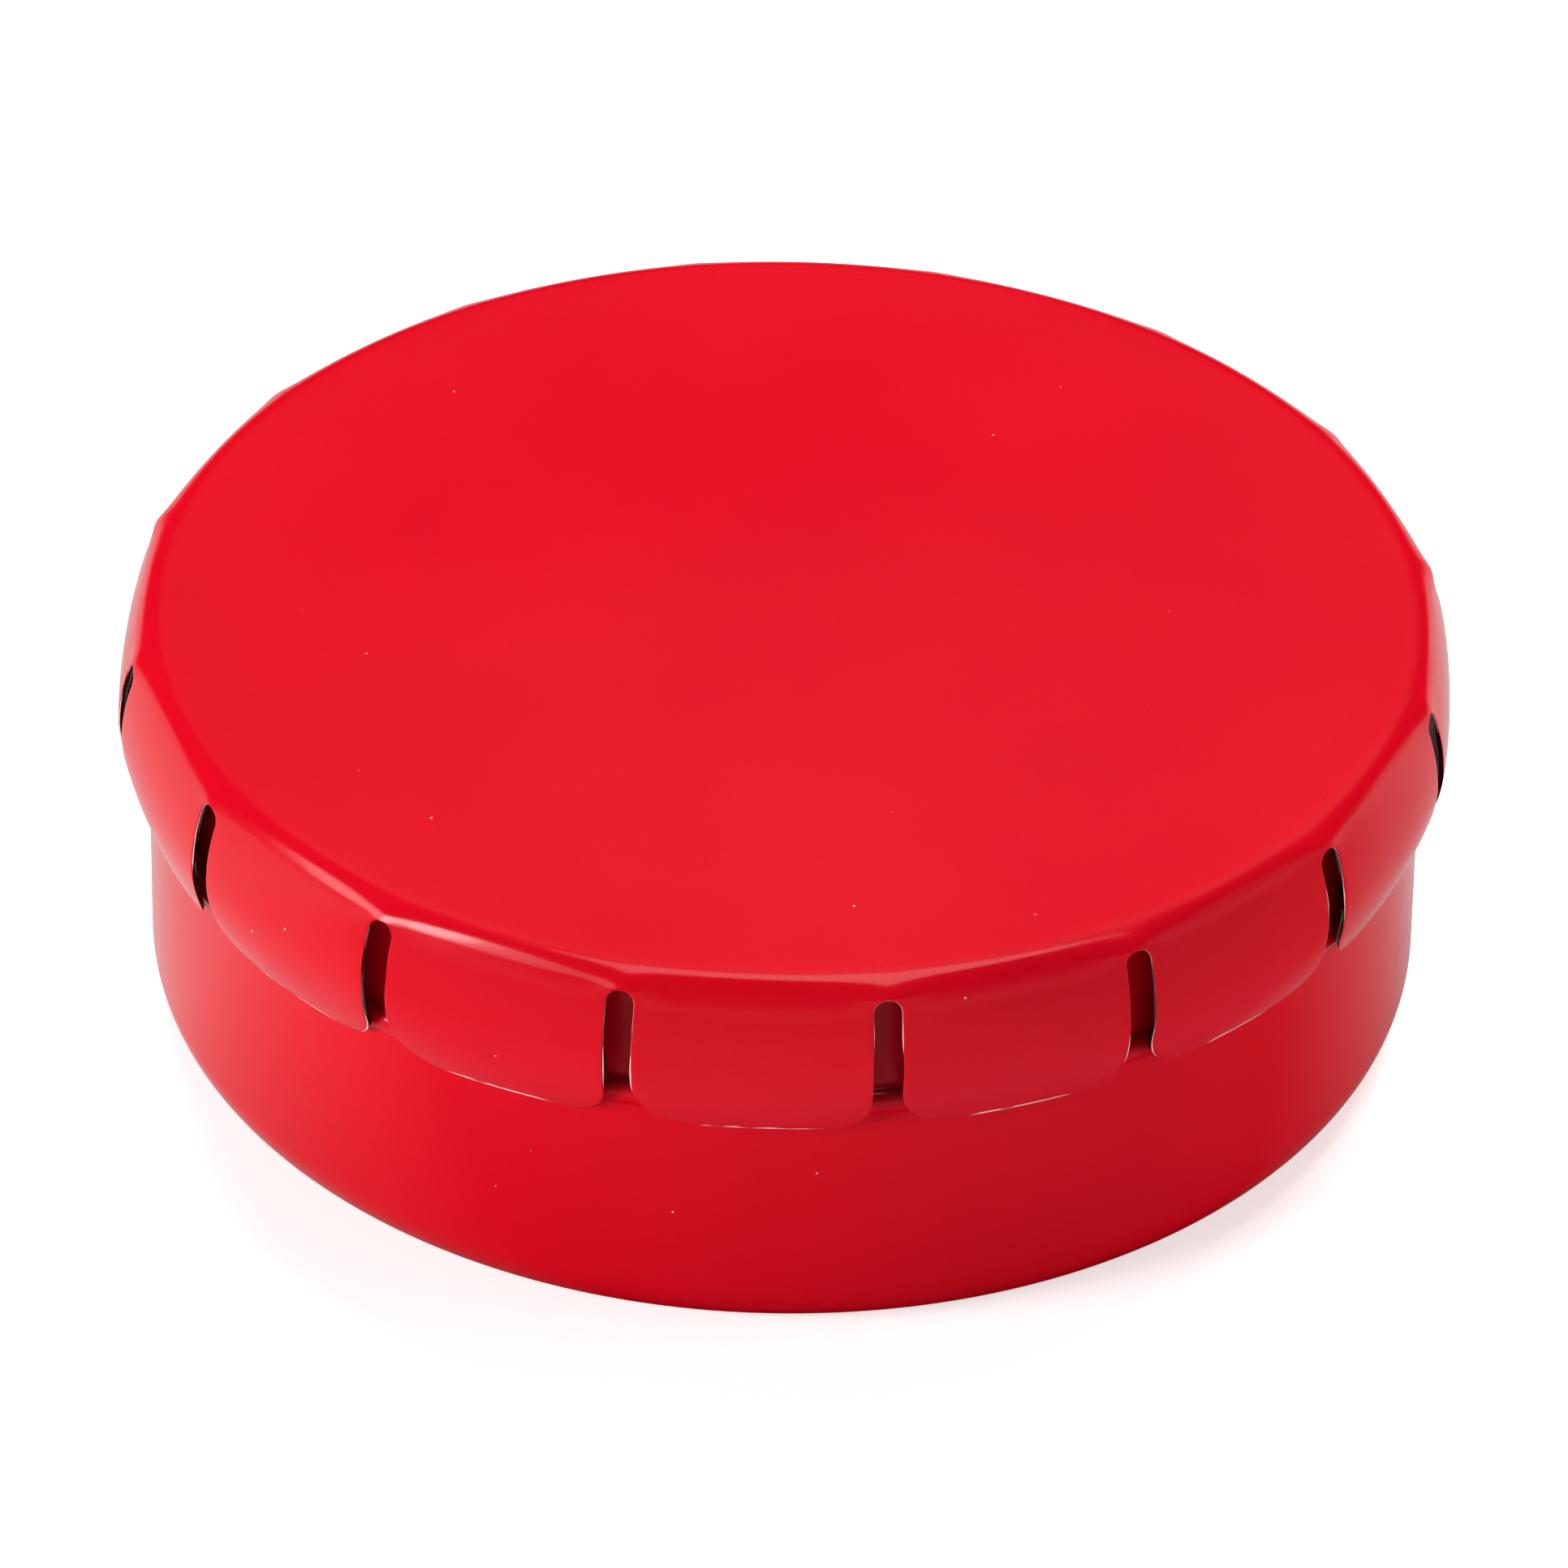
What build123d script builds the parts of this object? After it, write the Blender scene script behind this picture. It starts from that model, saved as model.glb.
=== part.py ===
from build123d import *
from math import acos, asin, cos, degrees, radians, sin, sqrt
import os

# Round tin with a snap lid, drawn from two tinplate pressings.
# Millimetres and degrees. The origin is the middle of the foot, on the surface the tin stands on.

# Sheet and base can
sheet = 0.22
wall_radius = 24.0
foot_bend = 2.3
foot_width = 0.8
floor_step = 0.45
floor_slope = 0.5

# Ridge round the can that the lid snaps over, its height given down from the lid's rim
ridge_drop = 5.75
ridge_depth = 0.35
ridge_bend = 0.5
ridge_fillet = 0.3

# Neck above the ridge, and the mouth rolled inwards at its top
neck_step = 0.2
mouth_roll = 0.42
mouth_sweep = 290

# Lid: height, shoulder and the flatter curve of each of its sides
finger_count = 16
first_slot_angle = 9
rim_height = 16.45
rim_width = 2.4
shoulder_bend = 0.9
shoulder_drop = 0.9
side_flare = 0.65
side_radius = 42

# Where the fingers stand out farthest, given down from the rim, and their bend below that
belly_drop = 3.85
belly_bend = 6.1

# Rise of the snap panel in the middle of the lid
panel_rise = 0.5

# Fingers and the slots between them
slot_width = 1.05
slot_lead = 0.07
finger_corner = 1.7

# Clearances
ridge_clearance = 0.08
tip_clearance = 0.07
panel_clearance = 0.06
hinge_clearance = 0.05
mouth_clearance = 0.06

# Cuts run this far past the metal
overrun = 1.0

# Values that follow from the sizes above
pitch_angle = 360 / finger_count
ridge_height = rim_height - ridge_drop
ridge_centre = wall_radius + ridge_depth - ridge_bend
neck_radius = wall_radius - neck_step
mouth_height = rim_height - sheet - mouth_clearance - mouth_roll
belly_height = rim_height - belly_drop
belly_reach = belly_bend - sheet - ridge_clearance - ridge_bend
belly_centre = ridge_centre - sqrt(belly_reach**2 - (belly_height - ridge_height) ** 2)
side_outer = belly_centre + belly_bend
side_axis = side_outer - side_radius
hinge_height = rim_height - shoulder_drop
hinge_rise = belly_drop - shoulder_drop
slot_top = hinge_height + slot_lead
tip_turn = degrees(acos((wall_radius + tip_clearance - belly_centre) / (belly_bend - sheet)))
finger_bottom = belly_height - (belly_bend - sheet) * sin(radians(tip_turn))
flare_radius = (side_flare**2 + hinge_rise**2) / (2 * side_flare)
flare_centre = side_outer - flare_radius
rim_inner = wall_radius - rim_width


def disc_section(inner, outer, bottom, top):
    """Rectangle in the radial plane, between two radii and two heights."""
    return Pos((inner + outer) / 2, (bottom + top) / 2) * Rectangle(outer - inner, top - bottom)


def bend_section(radius, height, outer, start, end):
    """Slice of sheet bent round a point of the radial plane, from one angle to another."""
    wide = [CenterArc((radius, height), outer, start, end - start)]
    tight = [CenterArc((radius, height), outer - sheet, start, end - start)]
    ends = [Line(wide[0] @ 0, tight[0] @ 0), Line(wide[0] @ 1, tight[0] @ 1)]
    return make_face(wide + tight + ends)


def upright(section):
    """Stand a section of the radial plane on the X axis."""
    return Plane.XZ * section


def wedge():
    """One share of the turn, centred on the X axis."""
    reach = wall_radius * 2
    half = radians(pitch_angle / 2)
    outline = Polygon(
        (0, 0),
        (reach * cos(half), -reach * sin(half)),
        (reach * cos(half), reach * sin(half)),
        align=None,
    )
    return extrude(outline, amount=rim_height + overrun)


def sweep_side(section):
    """Carry a section round the flatter curve of one side of the lid, cut to its share of the turn."""
    axis = Axis((side_axis, 0, 0), (0, 0, 1))
    half = degrees(asin((side_outer + overrun) * sin(radians(pitch_angle / 2)) / side_radius))
    band = revolve(upright(section), axis=axis, revolution_arc=2 * half)
    return band.rotate(axis, -half) & wedge()


def slot_cutter(angle):
    """Slot with a round top, through the side of the lid."""
    crown = slot_top - slot_width / 2
    bottom = finger_bottom - overrun
    outline = Pos(0, (crown + bottom) / 2) * Rectangle(slot_width, crown - bottom)
    outline += Pos(0, crown) * Circle(slot_width / 2)
    start = wall_radius - shoulder_bend - overrun
    cutter = extrude(Plane.YZ.offset(start) * outline, amount=side_outer + overrun - start)
    return cutter.rotate(Axis.Z, angle)


def ridge_turn(edge):
    """Angle of the ridge's crest that ends where it meets the fillet from a wall of this radius."""
    return degrees(acos((edge + ridge_fillet - ridge_centre) / (ridge_bend + ridge_fillet)))


def ridge_reach(edge):
    """Height from the middle of the ridge to the end of the straight wall of this radius."""
    return (ridge_bend + ridge_fillet) * sin(radians(ridge_turn(edge)))


def ridge_section():
    """Round ridge pressed out of the wall, with a fillet below it and one above it."""
    low = ridge_turn(wall_radius)
    high = ridge_turn(neck_radius)
    below = ridge_height - ridge_reach(wall_radius)
    above = ridge_height + ridge_reach(neck_radius)
    section = bend_section(ridge_centre, ridge_height, ridge_bend, -low, high)
    section += bend_section(wall_radius + ridge_fillet, below, ridge_fillet + sheet, 180 - low, 180)
    section += bend_section(neck_radius + ridge_fillet, above, ridge_fillet + sheet, 180, 180 + high)
    return section


def base_can():
    """Drawn can: raised floor, foot ring, round corner, wall, ridge, neck and rolled mouth."""
    foot_outer = wall_radius - foot_bend
    foot_inner = foot_outer - foot_width
    floor_edge = foot_inner - floor_slope
    below = ridge_height - ridge_reach(wall_radius)
    above = ridge_height + ridge_reach(neck_radius)
    section = disc_section(0, floor_edge, floor_step, floor_step + sheet)
    section += Polygon(
        (floor_edge, floor_step),
        (foot_inner, 0),
        (foot_inner, sheet),
        (floor_edge, floor_step + sheet),
        align=None,
    )
    section += disc_section(foot_inner, foot_outer, 0, sheet)
    section += bend_section(foot_outer, foot_bend, foot_bend, -90, 0)
    section += disc_section(wall_radius - sheet, wall_radius, foot_bend, below)
    section += ridge_section()
    section += disc_section(neck_radius - sheet, neck_radius, above, mouth_height)
    section += bend_section(neck_radius - mouth_roll, mouth_height, mouth_roll, 0, mouth_sweep)
    return revolve(upright(section), axis=Axis.Z)


def lid_shoulder():
    """Rim and rounded shoulder of the lid, down to the line where the fingers bend."""
    hinge_angle = degrees(asin(hinge_rise / flare_radius))
    shoulder_rise = belly_drop - shoulder_bend
    shoulder_angle = degrees(asin(shoulder_rise / (flare_radius - shoulder_bend)))
    shoulder_centre = flare_centre + (flare_radius - shoulder_bend) * cos(radians(shoulder_angle))
    section = bend_section(flare_centre, belly_height, flare_radius, hinge_angle, shoulder_angle)
    section += bend_section(shoulder_centre, rim_height - shoulder_bend, shoulder_bend, shoulder_angle, 90)
    section += disc_section(rim_inner - overrun, shoulder_centre, rim_height - sheet, rim_height)
    side = sweep_side(section)
    sides = [side.rotate(Axis.Z, n * pitch_angle) for n in range(finger_count)]
    ring = sides[0].fuse(*sides[1:]).clean()
    ring -= Pos(0, 0, rim_height) * Cylinder(rim_inner, 2 * overrun)
    for n in range(finger_count):
        ring -= slot_cutter((n + 1 / 2) * pitch_angle)
    return ring.rotate(Axis.Z, first_slot_angle + pitch_angle / 2)


def lid_dome():
    """Shallow sprung panel in the middle of the lid, just clear of the rim round it."""
    panel_radius = rim_inner - panel_clearance
    sphere = (panel_radius**2 + panel_rise**2) / (2 * panel_rise)
    edge_angle = 90 - degrees(asin(panel_radius / sphere))
    top = rim_height + panel_rise
    section = bend_section(0, top - sphere, sphere, edge_angle, 90)
    return revolve(upright(section), axis=Axis.Z)


def finger():
    """One gripping finger on the X axis: flared side, belly, and a tip bent in below the ridge."""
    top_angle = degrees(asin((hinge_rise - hinge_clearance) / flare_radius))
    section = bend_section(flare_centre, belly_height, flare_radius, 0, top_angle)
    section += bend_section(belly_centre, belly_height, belly_bend, -tip_turn, 0)
    blade = sweep_side(section)
    width = 2 * side_outer * sin(radians(pitch_angle / 2)) - slot_width
    outline = Pos(0, (hinge_height + finger_bottom) / 2) * Rectangle(width, hinge_height - finger_bottom)
    outline = fillet(outline.vertices().sort_by(Axis.Y)[:2], finger_corner)
    start = wall_radius - shoulder_bend
    blade &= extrude(Plane.YZ.offset(start) * outline, amount=side_outer + overrun - start)
    blade -= slot_cutter(-pitch_angle / 2)
    blade -= slot_cutter(pitch_angle / 2)
    return blade


def main():
    os.makedirs("parts", exist_ok=True)
    export_step(base_can(), "parts/base_can.step")
    export_step(lid_shoulder(), "parts/lid_shoulder.step")
    export_step(lid_dome(), "parts/lid_dome.step")
    blade = finger()
    for n in range(finger_count):
        angle = first_slot_angle + (n + 1 / 2) * pitch_angle
        export_step(blade.rotate(Axis.Z, angle), f"parts/finger_{n + 1:02d}.step")


main()
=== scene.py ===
import math
from contextlib import contextmanager
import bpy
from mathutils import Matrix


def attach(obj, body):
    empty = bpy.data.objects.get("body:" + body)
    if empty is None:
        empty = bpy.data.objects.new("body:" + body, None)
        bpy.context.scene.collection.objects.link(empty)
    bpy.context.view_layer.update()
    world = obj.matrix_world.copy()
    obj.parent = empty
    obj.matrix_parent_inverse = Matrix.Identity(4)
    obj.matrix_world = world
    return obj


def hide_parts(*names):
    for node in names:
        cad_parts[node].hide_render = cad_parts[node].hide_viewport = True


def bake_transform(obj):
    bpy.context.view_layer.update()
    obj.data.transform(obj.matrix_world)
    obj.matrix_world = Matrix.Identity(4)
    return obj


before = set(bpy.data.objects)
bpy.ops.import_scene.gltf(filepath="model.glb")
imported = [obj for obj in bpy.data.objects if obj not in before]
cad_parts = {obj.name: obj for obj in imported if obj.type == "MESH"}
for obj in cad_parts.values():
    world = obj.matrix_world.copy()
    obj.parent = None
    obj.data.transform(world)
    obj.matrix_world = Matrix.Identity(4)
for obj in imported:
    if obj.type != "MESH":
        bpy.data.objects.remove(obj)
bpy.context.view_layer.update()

from types import SimpleNamespace

import bpy
from bpy.props import FloatProperty, FloatVectorProperty, PointerProperty
from bpy.types import Operator, Panel, PropertyGroup
from mathutils import Matrix, Vector

bl_info = {
    "name": "Mint tin",
    "version": (1, 0, 0),
    "blender": (4, 5, 0),
    "location": "3D View > Sidebar > Mint tin",
    "description": "Red round tin with a snap lid, built around its packed solids",
    "category": "Object",
}

MM = 0.001
SIDES = 16
PITCH = 2 * math.pi / SIDES
FIRST_SLOT = math.radians(9)

# Radius of the core of the snap panel, which moves as one
PANEL_CORE = 8 * MM

# How close a vertex is to a seam it lies on, and how close vertices are that get merged
ON_SEAM = 0.02 * MM
MERGED = 0.001 * MM

# Rows and steps of the meshes, with the steps of the rounded places in degrees
SPIN_STEPS = 320
RIM_ROWS = 5
CORE_ROWS = 8
SECTOR_ROWS = 14
SIDE_ROWS = 16
CORNER_STEP = 6
CROWN_STEP = 7

# Waves of a punched edge: how their start changes with finger and side, and their turns
EDGE_PHASES = (2.4, 1.3)
LONG_WAVE = 5
SHORT_WAVE = 13

# Edges sharper than this stay sharp
SMOOTH_ANGLE = math.radians(40)
FINGER_SMOOTH_ANGLE = math.radians(50)

# What a distance from the cut edge is multiplied by: least at a fingertip's middle, where wear is most
TIP_SPARED = 0.75
SIDE_SPARED = 9
MOST_SPARED = 15.0
CORNER_SPARED = 12
CORNER_POWER = 6

# Scales of the noise patterns, in waves to a metre
WARP_SCALE = 9000.0
BROAD_SCALE = 90.0
CHIP_SCALE = 700.0
TEAR_SCALE = 2500.0
ROLLED_SCALE = (1500.0, 9000.0, 1500.0)
CLOUD_SCALE = 3.0

# How far the specks are warped, and what the grain adds to the enamel's height and tone
WARP = 0.06 * MM
GRAIN_HEIGHT = 0.25
GRAIN_TONE = 1.2

# Shares of a colour in its darkest and brightest places, and other numbers of the surfaces
DEEP_RED = 0.9
BRIGHT_RED = 1.08
DULL_LACQUER = 0.92
DULL_CUT = 0.1
DIM_FLOOR = 0.99
SPECK_ROUGHNESS = 0.7
SPECK_HEIGHT = 1.5
ENAMEL_IOR = 1.45

# Ranges of the ramps, as from, to, value at from, value at to
SPECK_SIZES = (0, 1, 0.4, 1.5)
CHIP_SIZES = (0.36, 0.54, 0.1, 1.0)
ENAMEL_SHADE = (0.6, 1.6, 0.0, 1.0)
ENAMEL_ROUGHNESS = (0.6, 1.6, 0.13, 0.18)
# Heights over which the fingers turn to their painted sheen, from where it starts to where it is full
PAINTED_SHEEN_HEIGHTS = (13.2 * MM, 11.2 * MM, 0.0, 1.0)
LACQUER_ROUGHNESS = (0.3, 0.7, 0.3, 0.33)
SHEARED_SHARE = (0.57, 0.72, 0.0, 1.0)
CUT_ROUGHNESS = (0.3, 0.7, 0.28, 0.5)
# Painted light of the floor as mirrored in the tin: it glows far off and behind the tin, and stays dark near
# its front, where the tin's shadow falls
PAINTED_GLOW_FAR = (32 * MM, 45 * MM, 0.0, 0.06)
PAINTED_GLOW_BEHIND = (-21 * MM, 2 * MM, 0.0, 0.66)
HORIZON = (0.04, 0.14, 0.3, 0.0)

# Slant of the mirrored floor's painted bright part, the floor's glow for the camera, the world's light
PAINTED_GLOW_TILT = -0.25
FLOOR_LIFT = 0.6
SKY_LIGHT = 0.1

# The picture's side in pixels, the camera's sensor in millimetres and the floor's side in metres
PIXELS = 1932
SENSOR = 36
FLOOR_SIDE = 6

# Name, direction, distance, width, height and radiance of each lamp
# The lamps light the tin and are not mirrored in it
LAMPS = (
    ("key_lamp", (0.1, 0.55, 0.78), 0.9, 0.8, 0.8, 6.9),
    ("side_lamp", (-0.83, -0.45, 0.3), 1.0, 0.5, 0.4, 18.0),
    ("fill_lamp", (0.97, -0.09, 0.21), 1.0, 0.8, 0.36, 5.8),
)
# The cards are mirrored in the tin and do not light it
CARDS = (
    ("streak_card", (-0.797, -0.46, 0.391), 1.0, 0.3, 0.54, 12.0),
    ("front_card", (-0.655, -0.633, 0.407), 1.0, 0.3, 0.4, 1.4),
    ("left_card", (-0.91, -0.177, 0.375), 1.0, 0.28, 0.54, 4.2),
    ("top_card", (0.09, -0.02, 0.99), 1.0, 0.5, 0.8, 2.1),
)

# Places across one side of the lid, from slot to slot, close together where the metal is cut
NEAR_CUT_SHARES = [1, 0.995, 0.988, 0.975, 0.95, 0.9]
ACROSS_SHARES = [-place for place in NEAR_CUT_SHARES] + [step / 10 for step in range(-8, 9)]
ACROSS_SHARES += NEAR_CUT_SHARES[::-1]


def length(name, description, millimetres):
    """A size in metres, with its default given in millimetres."""
    return FloatProperty(
        name=name, description=description, default=millimetres * MM, min=0, precision=5, unit="LENGTH"
    )


def angle(name, description, degrees):
    """An angle, with its default given in degrees."""
    return FloatProperty(name=name, description=description, default=math.radians(degrees), unit="ROTATION")


def share(name, description, value):
    """A number without a unit."""
    return FloatProperty(name=name, description=description, default=value, min=0)


def colour(name, description, value):
    """A linear colour."""
    return FloatVectorProperty(
        name=name, description=description, default=value, size=4, min=0, max=1, subtype="COLOR"
    )


class TinSizes(PropertyGroup):
    """Sizes of the two pressings, as those of the solids or close to them."""

    sheet: length("Sheet", "Thickness of the tinplate", 0.22)
    wall_radius: length("Wall radius", "Outside of the can's wall", 24.0)
    foot_bend: length("Foot bend", "Radius of the can's lower corner", 2.3)
    foot_width: length("Foot width", "Width of the ring the tin stands on", 0.8)
    floor_step: length("Floor step", "Height of the floor above the foot", 0.45)
    floor_slope: length("Floor slope", "Width of the slope from foot to floor", 0.5)
    floor_bend: length("Floor bend", "Radius at each end of that slope", 0.35)
    ridge_drop: length("Ridge drop", "From the lid's rim down to the ridge", 5.65)
    ridge_depth: length("Ridge depth", "How far the ridge stands out of the wall", 0.35)
    ridge_bend: length("Ridge bend", "Radius of the ridge's crest", 0.5)
    ridge_fillet: length("Ridge fillet", "Radius below and above the ridge", 0.3)
    neck_step: length("Neck step", "How far the neck lies inside the wall", 0.2)
    mouth_roll: length("Mouth roll", "Radius of the rolled mouth", 0.42)
    mouth_sweep: angle("Mouth sweep", "How far the mouth is rolled round", 290)
    mouth_height: length("Mouth height", "Height of the middle of the roll", 15.65)
    rim_height: length("Rim height", "Height of the lid's flat rim", 16.35)
    rim_width: length("Rim width", "From the wall's radius in to the snap panel", 2.4)
    panel_rise: length("Panel rise", "Height of the snap panel over the rim", 0.5)
    shoulder_bend: length("Shoulder bend", "Radius of the lid's shoulder", 1.12)
    shoulder_drop: length("Shoulder drop", "From the rim down to the fingers' bending line", 0.8)
    belly_drop: length("Belly drop", "From the rim down to a finger's widest place", 3.75)
    belly_bend: length("Belly bend", "Bend of a finger below that", 6.1)
    side_flare: length("Side flare", "How far a finger flares out", 0.6)
    side_radius: length("Side radius", "Radius of the flatter curve of each side", 42.0)
    side_corner: length("Side corner", "Softness of the corner between two sides", 0.35)
    round_depth: length("Round depth", "Depth in which the round rim turns into flatter sides", 0.55)
    rim_spread: length("Rim spread", "How far the rim stands out past a side's middle", 0.1)
    corner_ear: length("Corner ear", "How far the shoulder stands out over a slot", 0.1)
    ear_width: length("Ear width", "Half width of that place", 0.75)
    tip_hug: length("Tip hug", "How far a fingertip's corners bend in to the can", 0.2)
    ridge_gap: length("Ridge gap", "Between a finger and the ridge", 0.08)
    tip_gap: length("Tip gap", "Between a fingertip and the wall", 0.07)
    slot_width: length("Slot width", "Width of the slots", 1.05)
    slot_lead: length("Slot lead", "Top of a slot above the bending line", 0.07)
    seam_lead: length("Seam lead", "Seam of shoulder and finger above the bending line", 0.11)
    finger_corner: length("Finger corner", "Corner radius of a fingertip, on its first side", 2.1)
    far_corner: length("Far corner", "Corner radius of a fingertip, on its other side", 1.5)
    uneven: length("Uneven", "How far a punched edge strays from straight", 0.03)
    cut_roll: length("Cut roll", "Depth of the rounded edge a punch leaves", 0.05)
    cut_width: length("Cut width", "Width of that rounded edge", 0.07)


class TinFinish(PropertyGroup):
    """Colours, wear and a painted sheen of the surfaces."""

    enamel: colour("Enamel", "Red of the baked enamel", (0.64, 0.002, 0.012, 1))
    lacquer: colour("Lacquer", "Clear lacquered tinplate inside", (0.6, 0.575, 0.53, 1))
    steel: colour("Steel", "Steel where the enamel is worn off an edge", (0.85, 0.66, 0.62, 1))
    cut: colour("Cut", "Sheared cut edge of the sheet, where it shines", (0.34, 0.23, 0.21, 1))
    dust: colour("Dust", "Specks and chips", (0.85, 0.55, 0.52, 1))
    # Painted reflection: a paler, pinker red for the fingers' lower half, standing in for the floor mirrored
    # there
    painted_sheen: colour("Painted sheen", "Dulled enamel of the fingers' lower half", (0.64, 0.011, 0.024, 1))
    peel_size: length("Peel size", "Size of the enamel's slight orange peel", 0.9)
    grain_size: length("Grain size", "Size of the enamel's fine grain", 0.07)
    speck_spacing: length("Speck spacing", "Least spacing of dust specks", 1.3)
    speck_radius: length("Speck radius", "Radius of a dust speck", 0.035)
    speck_share: share("Speck share", "Share of the places that have a speck", 0.14)
    chip_reach: length("Chip reach", "How far the chips reach from a cut edge", 0.22)


class StageSettings(PropertyGroup):
    """Camera, floor and lamps."""

    floor: colour("Floor", "Pale floor", (0.93, 0.93, 0.93, 1))
    floor_bounce: colour("Floor bounce", "The floor as it lights the tin", (0.95, 0.95, 0.95, 1))
    camera_distance: length("Camera distance", "From the camera to the middle of the tin", 447.09)
    camera_height: length("Camera target", "Height the camera looks at", 8.0)
    camera_elevation: angle("Camera elevation", "Camera above the horizon", 34.99)
    camera_roll: angle("Camera roll", "Turn of the camera about its view", 0.906)
    focal_pixels: share("Focal length in pixels", "Focal length in pixels of the picture", 14539.0)


def shape_of(sizes):
    """Places that follow from the sizes."""
    shape = SimpleNamespace()
    shape.ridge_centre = sizes.wall_radius + sizes.ridge_depth - sizes.ridge_bend
    shape.neck_radius = sizes.wall_radius - sizes.neck_step
    shape.rim_inner = sizes.wall_radius - sizes.rim_width
    shape.ridge_height = sizes.rim_height - sizes.ridge_drop
    shape.belly_height = sizes.rim_height - sizes.belly_drop
    reach = sizes.belly_bend - sizes.sheet - sizes.ridge_gap - sizes.ridge_bend
    lift = shape.belly_height - shape.ridge_height
    shape.belly_centre = shape.ridge_centre - math.sqrt(reach**2 - lift**2)
    shape.side_outer = shape.belly_centre + sizes.belly_bend
    shape.side_axis = shape.side_outer - sizes.side_radius
    shape.hinge_height = sizes.rim_height - sizes.shoulder_drop
    rise = sizes.belly_drop - sizes.shoulder_drop
    shape.flare_radius = (sizes.side_flare**2 + rise**2) / (2 * sizes.side_flare)
    shape.flare_centre = shape.side_outer - shape.flare_radius
    inside = shape.flare_radius - sizes.shoulder_bend
    shape.shoulder_level = sizes.rim_height - sizes.shoulder_bend
    shape.shoulder_angle = math.asin((shape.shoulder_level - shape.belly_height) / inside)
    shape.shoulder_centre = shape.flare_centre + inside * math.cos(shape.shoulder_angle)
    shape.shoulder_start = shape.belly_height + shape.flare_radius * math.sin(shape.shoulder_angle)
    shape.seam_height = shape.hinge_height + sizes.seam_lead
    shape.slot_top = shape.hinge_height + sizes.slot_lead
    shape.slot_half = sizes.slot_width / 2
    shape.crown = shape.slot_top - shape.slot_half
    inner_bend = sizes.belly_bend - sizes.sheet
    inner_turn = math.acos((sizes.wall_radius + sizes.tip_gap - shape.belly_centre) / inner_bend)
    shape.tip_bottom = shape.belly_height - inner_bend * math.sin(inner_turn)
    shape.tip_turn = math.asin((shape.belly_height - shape.tip_bottom) / sizes.belly_bend)
    shape.belly_length = sizes.belly_bend * shape.tip_turn
    shape.flex_radius = shape.side_outer - sizes.side_flare
    return shape


def arc(centre, radius, start, end, steps):
    """Points of the radial plane along an arc, both ends included."""
    turns = [start + (end - start) * n / steps for n in range(steps + 1)]
    return [(centre[0] + radius * math.cos(turn), centre[1] + radius * math.sin(turn)) for turn in turns]


def rounded(before, corner, after, radius, steps):
    """Points of the arc that rounds a corner of the radial plane."""
    corner = Vector(corner)
    towards, away = (Vector(before) - corner).normalized(), (Vector(after) - corner).normalized()
    half = towards.angle(away) / 2
    middle = corner + (towards + away).normalized() * (radius / math.sin(half))
    first = corner + towards * (radius / math.tan(half)) - middle
    last = corner + away * (radius / math.tan(half)) - middle
    start = math.atan2(first.y, first.x)
    turn = (math.atan2(last.y, last.x) - start + math.pi) % (2 * math.pi) - math.pi
    return arc(middle, radius, start, start + turn, steps)


def spaced(first, last, steps):
    """Evenly spaced points of a straight run, without its two ends."""
    first, last = Vector(first), Vector(last)
    return [tuple(first.lerp(last, n / steps)) for n in range(1, steps)]


# Modelling helpers

def deselect():
    """Leave nothing selected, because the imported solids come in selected."""
    bpy.ops.object.select_all(action="DESELECT")


def make_active(piece):
    """Select one piece alone."""
    deselect()
    piece.select_set(True)
    bpy.context.view_layer.objects.active = piece


@contextmanager
def editing():
    """Work in edit mode and leave it again."""
    bpy.ops.object.mode_set(mode="EDIT")
    yield
    bpy.ops.object.mode_set(mode="OBJECT")


def name_new(name):
    """Name the object just added and its mesh."""
    piece = bpy.context.object
    piece.name = name
    piece.data.name = name
    return piece


def draw_chain(name, points):
    """Draw a line of the radial plane by extruding one vertex from point to point."""
    deselect()
    bpy.ops.mesh.primitive_plane_add(size=MM, location=(points[0][0], 0, points[0][1]))
    piece = name_new(name)
    bpy.ops.object.transform_apply(location=True, rotation=True, scale=True)
    with editing():
        bpy.ops.mesh.select_all(action="SELECT")
        bpy.ops.mesh.merge(type="CENTER")
        here = Vector((points[0][0], 0, points[0][1]))
        for radius, height in points[1:]:
            there = Vector((radius, 0, height))
            bpy.ops.mesh.extrude_vertices_move(TRANSFORM_OT_translate={"value": there - here})
            here = there
    return piece


def spin_round(piece):
    """Turn a drawn line once round the axis, and close the seam and the pole."""
    make_active(piece)
    with editing():
        bpy.ops.mesh.select_all(action="SELECT")
        bpy.ops.mesh.spin(steps=SPIN_STEPS, angle=2 * math.pi, center=(0, 0, 0), axis=(0, 0, 1))
        bpy.ops.mesh.select_all(action="SELECT")
        bpy.ops.mesh.remove_doubles(threshold=MERGED)
        bpy.ops.mesh.normals_make_consistent(inside=False)


def face_outwards(piece, height):
    """Flip the mesh if its steep faces near a height look at the axis."""
    steep = [face for face in piece.data.polygons if abs(face.normal.z) < 0.5]
    sides = [face for face in steep if abs(face.center.z - height) < MM]
    inward = sum(face.normal.xy.dot(face.center.xy) < 0 for face in sides)
    if inward * 2 > len(sides):
        piece.data.flip_normals()


def face_up(piece):
    """Flip the mesh if it looks down."""
    if piece.data.polygons[0].normal.z < 0:
        piece.data.flip_normals()


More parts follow.
